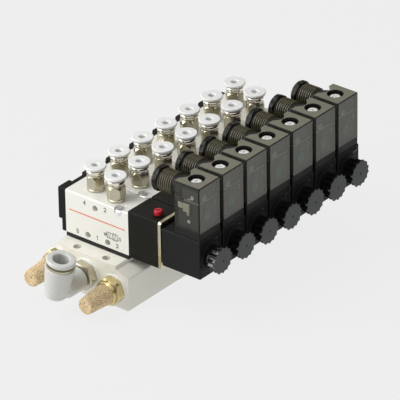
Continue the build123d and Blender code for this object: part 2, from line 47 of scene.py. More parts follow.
STEP = [Matrix.Translation((0, PITCH * k, 0)) for k in range(STATIONS)]


# ------------------------------------------------------------------ materials
def mat(name, color, rough=0.4, metal=0.0, var=0.05, scale=700.0, rvar=0.06, bump=0.05, bscale=2600.0, alpha=None,
        coat=0.0, spec=0.5, ior=1.5, detail=4.0, aniso=None, dark=None, spots=None, sss=0.0):
    """A Principled material whose colour, roughness and bump come from noise in the object's own space."""
    m = bpy.data.materials.new(name)
    m.use_nodes = True
    nt = m.node_tree
    nd, ln = nt.nodes, nt.links
    p = nd["Principled BSDF"]
    tc = nd.new("ShaderNodeTexCoord")
    mp = nd.new("ShaderNodeMapping")
    if aniso:
        mp.inputs["Scale"].default_value = aniso
    ln.new(tc.outputs["Object"], mp.inputs["Vector"])
    n1 = nd.new("ShaderNodeTexNoise")
    n1.inputs["Scale"].default_value = scale
    n1.inputs["Detail"].default_value = detail
    ln.new(mp.outputs["Vector"], n1.inputs["Vector"])
    mix = nd.new("ShaderNodeMix")
    mix.data_type = "RGBA"
    lo = dark if dark else tuple(c * (1 - var) for c in color)
    hi = tuple(min(1.0, c * (1 + var)) for c in color)
    mix.inputs[6].default_value = (*lo, 1)
    mix.inputs[7].default_value = (*hi, 1)
    ramp = nd.new("ShaderNodeMapRange")
    ramp.inputs["From Min"].default_value = 0.3
    ramp.inputs["From Max"].default_value = 0.7
    ln.new(n1.outputs["Fac"], ramp.inputs["Value"])
    ln.new(ramp.outputs["Result"], mix.inputs[0])
    col_out = mix.outputs[2]
    if spots:
        scol, sscale, thr = spots
        v = nd.new("ShaderNodeTexNoise")
        v.inputs["Scale"].default_value = sscale
        v.inputs["Detail"].default_value = 1.0
        ln.new(mp.outputs["Vector"], v.inputs["Vector"])
        r2 = nd.new("ShaderNodeMapRange")
        r2.inputs["From Min"].default_value = thr
        r2.inputs["From Max"].default_value = thr + 0.06
        ln.new(v.outputs["Fac"], r2.inputs["Value"])
        m2 = nd.new("ShaderNodeMix")
        m2.data_type = "RGBA"
        ln.new(r2.outputs["Result"], m2.inputs[0])
        ln.new(col_out, m2.inputs[6])
        m2.inputs[7].default_value = (*scol, 1)
        col_out = m2.outputs[2]
    ln.new(col_out, p.inputs["Base Color"])
    rr = nd.new("ShaderNodeMapRange")
    rr.inputs["From Min"].default_value = 0.25
    rr.inputs["From Max"].default_value = 0.75
    rr.inputs["To Min"].default_value = max(0.02, rough - rvar)
    rr.inputs["To Max"].default_value = min(1.0, rough + rvar)
    ln.new(n1.outputs["Fac"], rr.inputs["Value"])
    ln.new(rr.outputs["Result"], p.inputs["Roughness"])
    if bump > 0:
        n2 = nd.new("ShaderNodeTexNoise")
        n2.inputs["Scale"].default_value = bscale
        n2.inputs["Detail"].default_value = 3.0
        ln.new(mp.outputs["Vector"], n2.inputs["Vector"])
        b = nd.new("ShaderNodeBump")
        b.inputs["Strength"].default_value = bump
        b.inputs["Distance"].default_value = 0.0001
        ln.new(n2.outputs["Fac"], b.inputs["Height"])
        ln.new(b.outputs["Normal"], p.inputs["Normal"])
    p.inputs["Metallic"].default_value = metal
    p.inputs["Specular IOR Level"].default_value = spec
    p.inputs["IOR"].default_value = ior
    if coat:
        p.inputs["Coat Weight"].default_value = coat
        p.inputs["Coat Roughness"].default_value = 0.08
    if sss:
        p.inputs["Subsurface Weight"].default_value = sss
        p.inputs["Subsurface Radius"].default_value = (1.0, 0.95, 0.85)
        p.inputs["Subsurface Scale"].default_value = 0.0012
    if alpha is not None:
        p.inputs["Alpha"].default_value = alpha
    return m


M = {
    "paint_white": mat("paint_white", (0.80, 0.79, 0.735), 0.38, var=0.015, bump=0.10, bscale=1500),
    "paint_base": mat("paint_base", (0.79, 0.775, 0.69), 0.40, var=0.02, bump=0.12, bscale=1300),
    "black_satin": mat("black_satin", (0.0078, 0.0078, 0.0064), 0.50, var=0.12, bump=0.10, bscale=2200, spec=0.13),
    "black_coil": mat("black_coil", (0.0085, 0.009, 0.0092), 0.48, var=0.12, bump=0.12, bscale=1800, spec=0.15),
    "black_base": mat("black_base", (0.010, 0.010, 0.009), 0.45, var=0.10, bump=0.10, bscale=2200, spec=0.18),
    "black_gloss": mat("black_gloss", (0.006, 0.006, 0.006), 0.20, var=0.10, bump=0.05, bscale=1500),
    "black_gland": mat("black_gland", (0.0055, 0.0055, 0.0045), 0.30, var=0.15, bump=0.05, bscale=1800, spec=0.17),
    "nut_face": mat("nut_face", (0.066, 0.069, 0.071), 0.55, var=0.06, bump=0.12, bscale=2400, spec=0.25),
    "rubber": mat("rubber", (0.012, 0.012, 0.012), 0.60, var=0.15, bump=0.2, bscale=1500, spec=0.3),
    "nickel": mat("nickel", (0.52, 0.485, 0.375), 0.22, metal=1.0, var=0.03, rvar=0.05, bump=0.02, bscale=1800),
    "nickel_bead": mat("nickel_bead", (0.80, 0.78, 0.72), 0.13, metal=1.0, var=0.02, rvar=0.03, bump=0.01, bscale=1800),
    "zinc": mat("zinc", (0.86, 0.87, 0.88), 0.36, metal=0.85, var=0.05, rvar=0.08, bump=0.06, bscale=1600),
    "zinc_deep": mat("zinc_deep", (0.92, 0.92, 0.90), 0.45, metal=0.25, var=0.05, rvar=0.08, bump=0.06, bscale=1600),
    "steel": mat("steel", (0.60, 0.60, 0.60), 0.32, metal=1.0, var=0.05, bump=0.06, bscale=1600),
    "plate": mat("plate", (0.62, 0.58, 0.43), 0.30, metal=1.0, var=0.06, scale=300, bump=0.05, bscale=1200),
    "ring_white": mat("ring_white", (0.82, 0.825, 0.81), 0.33, var=0.01, bump=0.04, bscale=1400, sss=0.15),
    "elbow_grey": mat("elbow_grey", (0.615, 0.617, 0.590), 0.34, var=0.012, bump=0.05, bscale=1200, sss=0.08),
    "brass": mat("brass", (0.62, 0.52, 0.275), 0.27, metal=1.0, var=0.05, rvar=0.07, bump=0.03, bscale=1500),
    "bronze": mat("bronze", (0.80, 0.575, 0.335), 0.66, metal=0.04, var=0.38, scale=1900, bump=1.0, bscale=1800,
                  spots=((0.25, 0.155, 0.07), 1700, 0.555)),
    "ptfe": mat("ptfe", (0.86, 0.86, 0.85), 0.34, var=0.01, bump=0.03, bscale=1400, sss=0.2),
    "red": mat("red", (0.60, 0.012, 0.030), 0.30, var=0.06, bump=0.04, bscale=1600, coat=0.3),
    # near-black red for the floor of each override button's slot: painted shade
    "red_slot_painted_shade": mat("red_slot_painted_shade", (0.05, 0.002, 0.003), 0.6, var=0.06, bump=0.04, bscale=1600, spec=0.1),
    "smoke": mat("smoke", (0.050, 0.050, 0.041), 0.18, var=0.05, scale=260, rvar=0.03, bump=0.05, bscale=900, alpha=0.52, ior=1.5, spec=0.26),
    # lighter copies of the smoke: painted light on the housing's top face and on its right face
    "smoke_top_painted_light": mat("smoke_top_painted_light", (0.215, 0.203, 0.160), 0.22, var=0.04, scale=260, rvar=0.03, bump=0.05, bscale=900, alpha=0.88, ior=1.5, spec=0.3),
    "smoke_right_painted_light": mat("smoke_right_painted_light", (0.150, 0.149, 0.128), 0.20, var=0.05, scale=260, rvar=0.03, bump=0.05, bscale=900, alpha=0.70, ior=1.5, spec=0.3),
    # near-black smoke: painted shade on the housing's rounded edges, turned-away faces, screw cup, gland spigot, neck
    # and bore
    "smoke_painted_shade": mat("smoke_painted_shade", (0.007, 0.007, 0.006), 0.35, var=0.10, scale=260, bump=0.05, bscale=900, spec=0.15),
    # lighter smoke for the gland thread's crests: painted light
    "thread_crest_painted_light": mat("thread_crest_painted_light", (0.120, 0.106, 0.062), 0.25, var=0.10, scale=400, rvar=0.03, bump=0.02, bscale=1200, spec=0.6, ior=1.55),
    "insert": mat("insert", (0.060, 0.060, 0.052), 0.5, var=0.10, scale=180, bump=0.1, bscale=1500),
    "insert_top": mat("insert_top", (0.11, 0.108, 0.092), 0.5, var=0.08, scale=180, bump=0.1, bscale=1500),
    "board": mat("board", (0.34, 0.34, 0.25), 0.5, var=0.12, scale=500, bump=0.2, bscale=1600),
    # near-black for the gland thread's grooves: painted shade
    "thread_groove_painted_shade": mat("thread_groove_painted_shade", (0.020, 0.018, 0.010), 0.30, var=0.1, scale=400, bump=0.03, bscale=1200, spec=0.3),
    "tan": mat("tan", (0.80, 0.76, 0.56), 0.45, var=0.10, scale=500, bump=0.15, bscale=1600),
    "solder": mat("solder", (0.95, 0.94, 0.86), 0.40, metal=0.2, var=0.05, bump=0.1, bscale=1500),
    "green": mat("green", (0.06, 0.42, 0.27), 0.30, var=0.15, scale=350, bump=0.05, bscale=1500),
    "seal": mat("seal", (0.010, 0.010, 0.010), 0.5, var=0.15, bump=0.15, bscale=1500),
    "print_black": mat("print_black", (0.035, 0.036, 0.045), 0.55, var=0.30, scale=1500, bump=0.08, bscale=2400),
    "print_red": mat("print_red", (0.74, 0.135, 0.065), 0.50, var=0.06, scale=1500, bump=0.08, bscale=2400),
}


# ------------------------------------------------------------------ mesh building
class Piece:
    """Vertices and faces in millimetres, in the row frame."""

    def __init__(self):
        self.v, self.f, self.m = [], [], []

    def add(self, verts, faces, mat_index=0, at=None):
        k = len(self.v)
        if at is not None:
            verts = [at @ Vector(p) for p in verts]
        self.v += [tuple(p) for p in verts]
        self.f += [tuple(k + i for i in f) for f in faces]
        self.m += [mat_index] * len(faces)
        return self

    def join(self, other, at=None):
        k = len(self.v)
        self.v += [tuple(at @ Vector(p)) if at is not None else p for p in other.v]
        self.f += [tuple(k + i for i in f) for f in other.f]
        self.m += other.m
        return self

    def mesh(self, name, mats, angle=32.0):
        me = bpy.data.meshes.new(name)
        me.from_pydata([(x * MM, y * MM, z * MM) for x, y, z in self.v], [], self.f)
        for m in mats:
            me.materials.append(M[m])
        me.polygons.foreach_set("material_index", self.m)
        me.polygons.foreach_set("use_smooth", [True] * len(me.polygons))
        me.update()
        me.set_sharp_from_angle(angle=math.radians(angle))
        return me

    def put(self, name, mats, body="island", nodes=(), slot=None, angle=32.0, weighted=True):
        ob = bpy.data.objects.new(name, self.mesh(name, mats, angle))
        COLL.objects.link(ob)
        if weighted:
            w = ob.modifiers.new("weighted", "WEIGHTED_NORMAL")
            w.keep_sharp = True
        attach(ob, body)
        if nodes:
            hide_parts(*nodes)
        return ob


def lathe(rows, n=48, phase=0.0, loop=False, cap0=False, cap1=False):
    """Surface of revolution about Z. A row is (z, r), or a function of the angle giving it."""
    verts, faces = [], []
    for row in rows:
        for i in range(n):
            t = phase + 2 * math.pi * i / n
            z, r = row(t) if callable(row) else row
            verts.append((r * math.cos(t), r * math.sin(t), z))
    R = len(rows)
    for j in range(R if loop else R - 1):
        a, b = j * n, ((j + 1) % R) * n
        for i in range(n):
            i2 = (i + 1) % n
            faces.append((a + i, a + i2, b + i2, b + i))
    if cap0:
        faces.append(tuple(range(n - 1, -1, -1)))
    if cap1:
        faces.append(tuple((R - 1) * n + i for i in range(n)))
    return verts, faces


def along_x(x, y, z, roll=0.0):
    return Matrix.Translation((x, y, z)) @ Matrix.Rotation(math.pi / 2, 4, "Y") @ Matrix.Rotation(roll, 4, "Z")


def along_my(x, y, z, roll=0.0):
    return Matrix.Translation((x, y, z)) @ Matrix.Rotation(math.pi / 2, 4, "X") @ Matrix.Rotation(roll, 4, "Z")


def rbox(x0, x1, y0, y1, z0, z1, r=0.3, seg=2, only=None):
    """Box with rounded edges; only is a test on an edge's direction and middle."""
    bm = bmesh.new()
    bmesh.ops.create_cube(bm, size=1.0)
    for v in bm.verts:
        v.co = Vector((x0 + (v.co.x + 0.5) * (x1 - x0), y0 + (v.co.y + 0.5) * (y1 - y0), z0 + (v.co.z + 0.5) * (z1 - z0)))
    es = [e for e in bm.edges if only is None or only((e.verts[1].co - e.verts[0].co).normalized(), (e.verts[0].co + e.verts[1].co) / 2)]
    if r > 0 and es:
        bmesh.ops.bevel(bm, geom=es, offset=r, segments=seg, profile=0.5, affect="EDGES", clamp_overlap=True)
    bm.verts.index_update()
    out = [tuple(v.co) for v in bm.verts], [tuple(v.index for v in f.verts) for f in bm.faces]
    bm.free()
    return out


def to_obj(geo):
    me = bpy.data.meshes.new("tmp")
    me.from_pydata(*[geo[0], [], geo[1]])
    me.update()
    ob = bpy.data.objects.new("tmp", me)
    COLL.objects.link(ob)
    return ob


def applied(ob):
    """Evaluated mesh of a scratch object as (verts, faces); the object is removed."""
    dg = bpy.context.evaluated_depsgraph_get()
    dg.update()
    ev = ob.evaluated_get(dg)
    me = ev.to_mesh()
    out = [tuple(v.co) for v in me.vertices], [tuple(p.vertices) for p in me.polygons]
    ev.to_mesh_clear()
    return out


def drop(*obs):
    for o in obs:
        me = o.data
        bpy.data.objects.remove(o)
        bpy.data.meshes.remove(me)


def boolean(a, tools, op="DIFFERENCE"):
    """a and each tool are (verts, faces) in millimetres."""
    base = to_obj(a)
    cut = []
    for t in tools:
        c = to_obj(t)
        m = base.modifiers.new("b", "BOOLEAN")
        m.operation = op
        m.solver = "EXACT"
        m.object = c
        cut.append(c)
    out = applied(base)
    drop(base, *cut)
    return out


def moved(geo, at):
    return [tuple(at @ Vector(p)) for p in geo[0]], geo[1]


def hexr(flats, cap):
    def f(t):
        k = math.pi / 3
        return min(cap, flats / 2 / math.cos((t % k) - k / 2))
    return f


# ------------------------------------------------------------------ push-in fittings
def fitting():
    h = hexr(10.8, 6.15)
    rb, rt = 5.36, 5.30
    kb, kt = 0.62, 0.47

    def b(t):
        return 63.2 + (h(t) - rb) / kb, h(t)

    def u(t):
        return 71.9 - (h(t) - rt) / kt, h(t)

    rows = [(61.4, 5.3), (61.6, 5.62), (62.3, 5.66), (62.8, 5.60), (63.1, 5.30), (63.2, rb), b, u, (71.9, rt), (72.05, 5.08),
            (72.6, 4.98), (73.1, 5.05), (73.25, 5.3), (73.5, 5.56), (73.95, 5.74), (74.6, 5.8), (75.2, 5.72), (75.6, 5.46),
            (75.8, 5.1), (75.8, 3.5), (66.1, 3.45), (66.0, 2.2), (62.0, 2.2)]
    return lathe(rows, 72)


TURN = {"a": (8, 14, 20, 4, 26, 12, 17), "b": (33, 22, 10, 28, 15, 6, 24)}
PORTS = {"a": (-11.2, 11.8), "b": (7.4, 9.2)}
bodies = Piece()
g = fitting()


for nm, (px, py) in PORTS.items():
    for k in range(STATIONS):
        at = Matrix.Translation((px, Y0 + PITCH * k + py, 0)) @ Matrix.Rotation(math.radians(TURN[nm][k]), 4, "Z")
        bodies.add(*g, 0, at)
        for j in range(len(bodies.m) - len(g[1]), len(bodies.m)):
            z = sum(bodies.v[i][2] for i in bodies.f[j]) / len(bodies.f[j])
            bodies.m[j] = 1 if 73.2 < z < 75.55 else 0
bodies.put("push_in_fittings", ["nickel", "nickel_bead"], nodes=["fitting_bodies"], slot="nickel", angle=17)

ring_rows = [(69.6, 2.1), (69.6, 3.38), (76.8, 3.38), (76.86, 3.9), (76.9, 6.4), (77.0, 6.75), (77.2, 6.95), (77.5, 7.05),
             (78.15, 7.05), (78.5, 6.95), (78.72, 6.72), (78.8, 6.4), (78.74, 5.9), (78.72, 4.4), (78.78, 3.1), (78.74, 2.75),
             (78.6, 2.45), (78.3, 2.2), (77.9, 2.1)]
g = lathe(ring_rows, 64, loop=True)
for nm, (px, py) in PORTS.items():
    for k in range(STATIONS):
        Piece().add(*g, 0, Matrix.Translation((px, Y0 + PITCH * k + py, 0))).put(
            f"tube_release_{nm}{k + 1}", ["ring_white"], body=f"ring_{nm}{k + 1}", nodes=[f"release_ring_{nm}{k + 1}"], slot="ring_white", angle=30)

# ------------------------------------------------------------------ connector housings
CX0, CX1, CZ0, CZ1 = 60.6, 80.3, 65.2, 96.4
CY0, CY1 = Y0 + 0.9, Y0 + 21.3
CXC, GZ = 70.3, 87.9


def thread_tube():
    """Gland tube: spigot, helical thread and a smooth neck into the housing. Gives vertices, faces and a material for each face."""
    verts, faces, mats = [], [], []
    n, p = 72, 1.62
    xs = [42.2, 42.5, 45.3, 45.35]
    x = 45.45
    while x < 56.0:
        xs.append(x)
        x += 0.135
    xs += [56.1, 56.7, 57.6, 58.6, 60.0, 62.0, 64.0]

    def wave(x, i):
        ph = (x / p - i / n) % 1.0
        return min(1.0, max(0.0, 1.5 * (1 - abs(2 * ph - 1)) - 0.28))

    for x in xs:
        for i in range(n):
            t = 2 * math.pi * i / n
            if x <= 45.32:
                r = 6.1 if x < 42.4 else 6.4
            elif x < 56.05:
                r = 6.72 + 0.86 * wave(x, i)
            else:
                r = 6.75
            verts.append((r * math.cos(t), r * math.sin(t), x))
    for j in range(len(xs) - 1):
        xm = 0.5 * (xs[j] + xs[j + 1])
        for i in range(n):
            i2 = (i + 1) % n
            faces.append((j * n + i, j * n + i2, (j + 1) * n + i2, (j + 1) * n + i))
            # spigot and neck take near-black smoke as painted shade; crests take lighter smoke as painted light, and
            # grooves take near-black as painted shade
            if xm < 45.4 or xm > 56.05:
                mats.append(1)
            else:
                mats.append(2 if wave(xm, i + 0.5) > 0.42 else 6)
    # bore and end ring of the tube, in near-black smoke as painted shade
    k = len(verts)
    for x, r in ((42.2, 5.4), (60.5, 5.4)):
        for i in range(n):
            t = 2 * math.pi * i / n
            verts.append((r * math.cos(t), r * math.sin(t), x))
    for i in range(n):
        i2 = (i + 1) % n
        faces.append((k + i2, k + i, k + n + i, k + n + i2))
        faces.append((i2, i, k + i, k + i2))
        mats += [1, 1]
    return verts, faces, mats


def housing_shell():
    vertical = lambda d, m: abs(d.z) > 0.9 or m.z > CZ1 - 0.1
    body = rbox(CX0, CX1, CY0, CY1, CZ0, CZ1, 0.55, 3, vertical)
    hole = moved(lathe([(91.9, 5.35), (97.5, 5.35)], 56, cap0=True, cap1=True), Matrix.Translation((CXC, YC, 0)))
    cone = moved(lathe([(-1.0, 10.6), (0.2, 10.2), (4.4, 8.3)], 56, cap0=True, cap1=True), along_x(CX0, YC, GZ))
    return boolean(body, [hole, cone])


H = Piece()
vs, fs = housing_shell()
# each face of the shell takes a smoke tone by the way it faces: top and right faces get lighter smoke as painted light;
# rounded edges, the screw hole wall and the back, left and bottom faces get near-black smoke as painted shade; the
# front and the cone keep plain smoke
for f in fs:
    nv = Vector((0, 0, 0))
    for a, b in zip(f, f[1:] + f[:1]):
        nv += Vector(vs[a]).cross(Vector(vs[b]))
    nv.normalize()
    c = sum((Vector(vs[i]) for i in f), Vector()) / len(f)
    flat = max(abs(nv.x), abs(nv.y), abs(nv.z)) > 0.985
    outer = c.x < CX0 + 0.01 or c.x > CX1 - 0.01 or c.y < CY0 + 0.01 or c.y > CY1 - 0.01 or c.z > CZ1 - 0.01
    if not flat and not (c.x < CX0 + 5 and abs(c.y - YC) < 9.9 and not outer):
        k = 4
    elif nv.z > 0.9:
        k = 3
    elif nv.x > 0.9:
        k = 5
    elif nv.y > 0.9 or nv.x < -0.9 or nv.z < -0.9:
        k = 4
    else:
        k = 0
    H.v += [vs[i] for i in f]
    H.f.append(tuple(range(len(H.v) - len(f), len(H.v))))
    H.m.append(k)
# cup round the screw, and the land behind the neck, both in near-black smoke as painted shade
cup = [(92.1, 5.36), (96.2, 5.36), (96.39, 5.25), (96.39, 5.05), (96.1, 4.95), (92.4, 4.9), (92.4, 0.9)]
H.add(*lathe(cup, 48), 1, Matrix.Translation((CXC, YC, 0)))
tv, tf, tm = thread_tube()
turn = Matrix.Translation((0, YC, GZ)) @ Matrix(((0, 0, 1, 0), (1, 0, 0, 0), (0, 1, 0, 0), (0, 0, 0, 1)))
H.add(tv, tf, 0, turn)
H.m[-len(tm):] = tm
H.add(*lathe([(59.6, 6.95), (60.2, 7.3), (64.6, 8.35), (64.7, 6.9)], 48), 1, along_x(0, YC, GZ))
housings = Piece()
for at in STEP:
    housings.join(H, at)
housings.put("connector_shells", ["smoke", "smoke_painted_shade", "thread_crest_painted_light", "smoke_top_painted_light", "smoke_painted_shade", "smoke_right_painted_light", "thread_groove_painted_shade"], nodes=["connector_housings"], slot="smoked_clear", angle=28)

# connector screws: pan head with a cross recess, just under the top of the housing
def cross_screw(z0, rh, hh, shank, low):
    head = lathe([(low, shank), (z0, shank), (z0, rh), (z0 + 0.55 * hh, rh), (z0 + 0.8 * hh, rh * 0.93), (z0 + 0.95 * hh, rh * 0.78),
                  (z0 + hh, rh * 0.55)], 48, cap0=True, cap1=True)
    arms = [rbox(-rh * 0.62, rh * 0.62, -0.5, 0.5, z0 + 0.3 * hh, z0 + hh + 1, 0.0), rbox(-0.5, 0.5, -rh * 0.62, rh * 0.62, z0 + 0.3 * hh, z0 + hh + 1, 0.0)]
    return boolean(head, arms)


g = cross_screw(92.45, 3.7, 2.4, 1.45, 54.5)
caps = Piece()
for k in range(STATIONS):
    caps.add(*g, 0, Matrix.Translation((CXC, YC + PITCH * k, 0)) @ Matrix.Rotation(math.radians((12, 55, 30, 74, 20, 41, 63)[k]), 4, "Z"))
caps.put("housing_screws", ["zinc_deep"], nodes=["connector_screws"], slot="zinc_screw", angle=35)

# what shows through the smoked plastic: terminal insert and a few generic components
I = Piece()
I.add(*rbox(62.0, 77.7, CY0 + 1.8, CY1 - 1.8, CZ0 + 0.02, 83.6, 0.4, 2), 0)
I.add(*rbox(65.6, 77.9, CY0 + 1.7, CY1 - 1.7, 85.15, 92.6, 0.4, 2), 1)
I.add(*rbox(77.7, 78.5, YC - 1.2, YC + 9.0, CZ0 + 0.4, 83.2, 0.2, 2), 1)
f = CY0 + 0.45                       # just behind the supply-end wall
I.add(*rbox(66.9, 71.9, f, f + 1.3, 77.0, 82.6, 0.35, 2), 2)
I.add(*rbox(62.9, 66.7, f + 0.1, f + 1.1, 78.6, 82.4, 0.6, 3), 2)
I.add(*rbox(69.9, 71.7, f, f + 1.0, 74.9, 77.2, 0.4, 3), 2)
I.add(*lathe([(0, 0.5), (0, 1.15), (0.5, 1.25), (0.9, 0.9), (1.1, 0.3)], 24, cap1=True), 3, along_my(71.1, f + 1.2, 70.5))
I.add(*lathe([(0, 0.8), (0.2, 1.35), (0.7, 1.35), (0.9, 1.0), (0.8, 0.6), (0.3, 0.4)], 24, cap1=True), 3, along_my(74.0, f + 1.2, 87.9))
I.add(*rbox(70.6, 73.4, f, f + 0.5, 86.3, 86.9, 0.2, 2), 2)
I.add(*rbox(75.2, 77.6, f, f + 0.4, 84.4, 85.2, 0.2, 2), 4)
g_ = 79.3
I.add(*lathe([(0, 2.5), (0.4, 2.5), (1.3, 2.2), (1.9, 1.2), (2.1, 0.2)], 28, cap1=True), 2, along_x(g_ - 2.2, YC - 2.6, 86.4))
I.add(*rbox(g_ - 0.5, g_, CY0 + 3.2, CY1 - 1.6, 84.55, 85.1, 0.15, 2), 2)
I.add(*lathe([(0, 3.3), (0.2, 3.3), (0.5, 2.9), (0.5, 0.4)], 36, cap1=True), 4, along_x(g_ - 0.9, YC + 0.1, 73.6) @ Matrix.Diagonal((1.15, 0.85, 1, 1)))
I.add(*rbox(g_ - 0.4, g_, YC + 6.6, YC + 7.5, 78.6, 82.4, 0.35, 3), 2)
inserts = Piece()
for at in STEP:
    inserts.join(I, at)
inserts.put("connector_inserts", ["insert", "insert_top", "tan", "solder", "green"], slot="board", angle=35)

# gland nuts
h = hexr(15.8, 8.5)
rl, rr_ = 7.0, 7.9


def dent(t):
    """Hexagon with a shallow hollow in the middle of each flat."""
    return h(t) - 0.35 * max(0.0, math.cos(6 * t + math.pi)) ** 2


nut_rows = [(40.0, 3.5), (40.0, 5.6), (40.05, 6.5), (40.3, rl), (lambda t: (40.3 + (h(t) - rl) * 0.85, h(t) - 0.02)), (lambda t: (41.9, dent(t))),
            (lambda t: (43.9, dent(t))), (lambda t: (44.5 - (h(t) - rr_) * 0.5, h(t) - 0.05)), (44.7, 7.75), (44.9, 7.45), (44.9, 6.5)]
gn = Piece()
g = lathe(nut_rows, 72)
inner = lathe([(44.9, 6.5), (41.9, 6.48), (41.8, 5.3), (41.8, 3.6), (40.2, 3.5), (40.0, 3.7)], 40)
for k in range(STATIONS):
    roll = math.radians((20, 8, 31, 14, 26, 3, 18)[k])
    gn.add(*g, 0, STEP[k] @ along_x(0, YC, GZ, roll))
    gn.add(*inner, 0, STEP[k] @ along_x(0, YC, GZ))
gn.put("gland_caps", ["black_gland"], nodes=["gland_nuts"], slot="gland_black", angle=22)

# ------------------------------------------------------------------ solenoid coils and their nuts
C = Piece()
lengthwise = lambda d, m: abs(d.x) > 0.9
C.add(*rbox(50.6, 80.7, Y0 + 0.2, Y0 + 21.8, 33.6, 59.8, 0.7, 3), 0)
C.add(*lathe([(49.8, 4.6), (49.8, 8.3), (50.0, 8.5), (50.8, 8.5)], 40), 0, along_x(0, YC, 46.0))
C.add(*lathe([(80.5, 9.6), (80.9, 10.0), (81.25, 10.0), (81.55, 9.7), (81.6, 9.2), (81.6, 4.6)], 56), 0, along_x(0, YC, 46.0))
for z in (57.9, 56.1, 54.3):
    half = 8.4 if z > 57 else (7.4 if z > 55 else 5.4)
    C.add(*rbox(80.5, 81.15, YC - half, YC + half - (3.4 if z < 57 else 0), z - 0.22, z + 0.22, 0.15, 2), 0)
C.add(*rbox(80.4, 81.0, YC + 4.2, YC + 8.6, 55.6, 56.9, 0.2, 2), 1)
coils = Piece()
for at in STEP:
    coils.join(C, at)
coils.put("coil_bodies", ["black_coil", "black_gloss"], nodes=["solenoid_coils"], slot="coil_black", angle=35)


def lobed(r, depth, n=14):
    return lambda t: r - depth * abs(math.sin(n / 2 * t))


K = Piece()
n = 14 * 10
top, mid = lobed(8.95, 1.0), lobed(8.3, 1.3)
K.add(*lathe([(81.6, 4.6), (81.6, 7.2), (81.8, 7.4), (84.0, 7.4), (84.2, 7.0), (84.2, 6.8),
              (lambda t: (84.25, mid(t) - 0.3)), (lambda t: (84.5, mid(t))), (lambda t: (88.3, mid(t))),
              (lambda t: (88.45, top(t) - 0.15)), (lambda t: (88.6, top(t))), (lambda t: (90.0, top(t)))], n), 0, along_x(0, YC, 46.0))
K.add(*lathe([(lambda t: (90.0, top(t))), (lambda t: (90.28, top(t) - 0.1)), (lambda t: (90.4, top(t) - 0.42)), (90.4, 6.0), (90.4, 3.0),
              (90.4, 1.0), (90.35, 0.75), (90.1, 0.6), (88.4, 0.6), (88.4, 0.0)], n), 1, along_x(0, YC, 46.0))
nuts = Piece()
for at in STEP:
    nuts.join(K, at)
nuts.put("coil_knobs", ["black_gloss", "nut_face"], nodes=["coil_nuts"], slot="nut_black", angle=30)

# ------------------------------------------------------------------ supply elbow
YE, SZ = -91.6, 16.3
PORT_HEIGHT = {-22.0: 17.0, 22.0: 12.8}
TILT = Matrix.Translation((0, 0, SZ)) @ Matrix.Rotation(math.radians(11.0), 4, "Y")


def elbow_field(P):
    """Signed distance of the upright elbow, its stem axis at Z = 0: barrel and arm, smoothly joined."""
    x, y, z = P[:, 0], P[:, 1] + 121.0, P[:, 2]
    s = np.clip((z - 1.75) / 0.6, 0, 1)
    R = 7.35 + 0.5 * s * s * (3 - 2 * s) + 1.75 * np.clip((z - 2.3) / 17.5, 0, 1)
    zc, hh = 7.8, 12.0
    rr = np.where(z < zc, 4.2, 0.45)
    qx, qz = np.hypot(x, y) - (R - rr), np.abs(z - zc) - (hh - rr)
    barrel = np.hypot(np.maximum(qx, 0), np.maximum(qz, 0)) + np.minimum(np.maximum(qx, qz), 0) - rr
    yc, hy, ra = 13.7, 8.2, 2.6
    qr, qy = np.hypot(x, z) - (7.9 - ra), np.abs(y - yc) - (hy - ra)
    arm = np.hypot(np.maximum(qr, 0), np.maximum(qy, 0)) + np.minimum(np.maximum(qr, qy), 0) - ra
    k = 1.8
    hmix = np.clip(0.5 + 0.5 * (barrel - arm) / k, 0, 1)
    return barrel * (1 - hmix) + arm * hmix - k * hmix * (1 - hmix)


def elbow():
    barrel = moved(lathe([(-4.1, 4.0), (-2.5, 6.6), (1, 8.2), (10, 9.4), (19.7, 9.5)], 48, cap0=True, cap1=True), Matrix.Translation((0, -121.0, 0)))
    arm = moved(lathe([(0.1, 5.6), (2.0, 7.7), (14.0, 7.7), (16.2, 5.8)], 48, cap0=True, cap1=True), along_my(0, -99.1, 0))
    a, b = to_obj(barrel), to_obj(arm)
    m = a.modifiers.new("u", "BOOLEAN")
    m.operation, m.solver, m.object = "UNION", "EXACT", b
    r = a.modifiers.new("r", "REMESH")
    r.mode, r.voxel_size = "VOXEL", 0.6
    vs, fs = applied(a)
    drop(a, b)
    P = np.array(vs, float)
    e = 0.02
    for _ in range(14):
        d = elbow_field(P)
        G = np.stack([elbow_field(P + np.eye(3)[i] * e) - elbow_field(P - np.eye(3)[i] * e) for i in range(3)], 1) / (2 * e)
        G /= np.maximum(1e-6, np.linalg.norm(G, axis=1))[:, None]
        P -= 0.8 * d[:, None] * G
    solid = [tuple(p) for p in P], fs
    bore = moved(lathe([(3.4, 6.9), (21.0, 6.9)], 64, cap0=True, cap1=True), Matrix.Translation((0, -121.0, 0)))
    low = moved(lathe([(-1.0, 3.4), (4.4, 3.4)], 40, cap0=True, cap1=True), Matrix.Translation((0, -121.0, 0)))
    return boolean(solid, [bore, low])


Piece().add(*elbow(), 0, TILT).put("supply_elbow", ["elbow_grey"], body="elbow", nodes=["elbow_body"], slot="elbow_grey", angle=50)

ET = 25.6
er = [(9.0, 5.1), (9.0, 6.5), (ET - 2.65, 6.5), (ET - 2.6, 6.9), (ET - 2.6, 8.8), (ET - 2.45, 9.1), (ET - 2.1, 9.36),
      (ET - 1.6, 9.45), (ET - 1.0, 9.4), (ET - 0.5, 9.15), (ET - 0.15, 8.8), (ET, 8.3), (ET - 0.05, 7.2), (ET, 6.2), (ET - 0.1, 5.8),
      (ET - 0.4, 5.4), (ET - 0.9, 5.15), (ET - 1.6, 5.1)]
Piece().add(*lathe(er, 72, loop=True), 0, TILT @ Matrix.Translation((0, -121.0, 0))).put(
    "elbow_release", ["elbow_grey"], body="elbow_ring", nodes=["elbow_release_ring"], slot="elbow_grey", angle=30)


